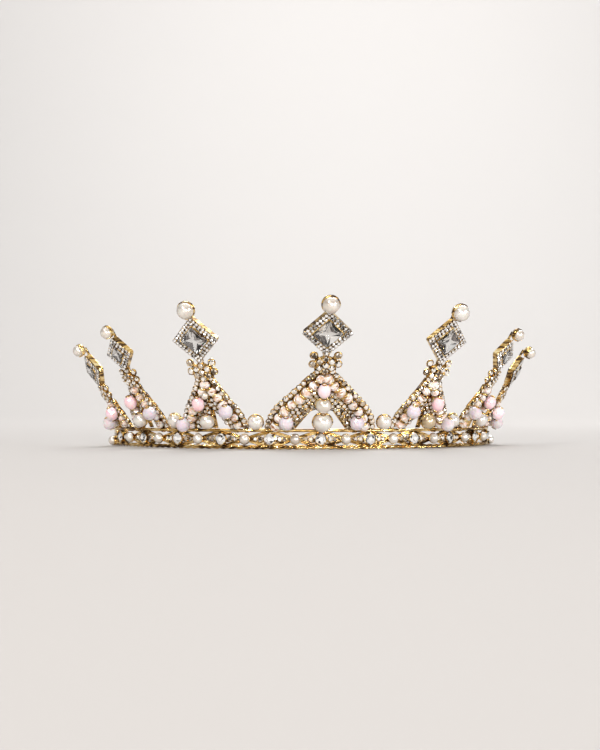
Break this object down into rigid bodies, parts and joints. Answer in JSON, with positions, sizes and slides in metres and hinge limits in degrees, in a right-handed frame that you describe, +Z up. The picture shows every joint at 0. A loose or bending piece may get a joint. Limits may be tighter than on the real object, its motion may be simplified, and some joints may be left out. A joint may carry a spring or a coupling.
{
  "type": "bridal crown",
  "caption": "Open gold-toned bridal crown: a jewelled band curved round the head, outward-leaning prongs with halo-set square stones, beads and pearls",
  "frame": {"origin": "centre of the crown's box at the level of the band's bottom edge, which it stands on", "axes": "+X along the crown's width, +Y from its front towards its open back, +Z up"},
  "size_m": [0.165, 0.1016, 0.0483],
  "materials": {
    "gold_metal": "bright gold-toned plating",
    "clear_crystal": "cut and foil-backed",
    "ivory_pearl": "pearl lustre",
    "pink_glass": "milky polished glass",
    "opal_glass": "milky faceted glass with a pale sheen"
  },
  "bodies": {
    "root": {"band": "gold_metal", "big_pearl_front": "ivory_pearl", "inner_strip": "gold_metal", "opal_left_end": "opal_glass", "opal_left_front": "opal_glass", "opal_left_inner": "opal_glass", "opal_left_outer": "opal_glass", "opal_right_end": "opal_glass", "opal_right_front": "opal_glass", "opal_right_inner": "opal_glass", "opal_right_outer": "opal_glass", "pearl_front": "ivory_pearl", "pearl_left_inner": "ivory_pearl", "pearl_left_outer": "ivory_pearl", "pearl_right_inner": "ivory_pearl", "pearl_right_outer": "ivory_pearl", "pink_front": "pink_glass", "pink_left_end": "pink_glass", "pink_left_inner": "pink_glass", "pink_left_outer": "pink_glass", "pink_right_end": "pink_glass", "pink_right_inner": "pink_glass", "pink_right_outer": "pink_glass", "prong_front": "gold_metal", "prong_left_end": "gold_metal", "prong_left_inner": "gold_metal", "prong_left_outer": "gold_metal", "prong_right_end": "gold_metal", "prong_right_inner": "gold_metal", "prong_right_outer": "gold_metal", "saddle_opal_left_outer": "opal_glass", "saddle_opal_right_outer": "opal_glass", "saddle_pearl_left_inner": "ivory_pearl", "saddle_pearl_left_outer": "ivory_pearl", "saddle_pearl_right_inner": "ivory_pearl", "saddle_pearl_right_outer": "ivory_pearl", "stone_front": "clear_crystal", "stone_left_end": "clear_crystal", "stone_left_inner": "clear_crystal", "stone_left_outer": "clear_crystal", "stone_right_end": "clear_crystal", "stone_right_inner": "clear_crystal", "stone_right_outer": "clear_crystal", "tie_wire_left": "gold_metal", "tie_wire_right": "gold_metal", "tip_pearl_front": "ivory_pearl", "tip_pearl_left_end": "ivory_pearl", "tip_pearl_left_inner": "ivory_pearl", "tip_pearl_left_outer": "ivory_pearl", "tip_pearl_right_end": "ivory_pearl", "tip_pearl_right_inner": "ivory_pearl", "tip_pearl_right_outer": "ivory_pearl"}
  },
  "joints": []
}
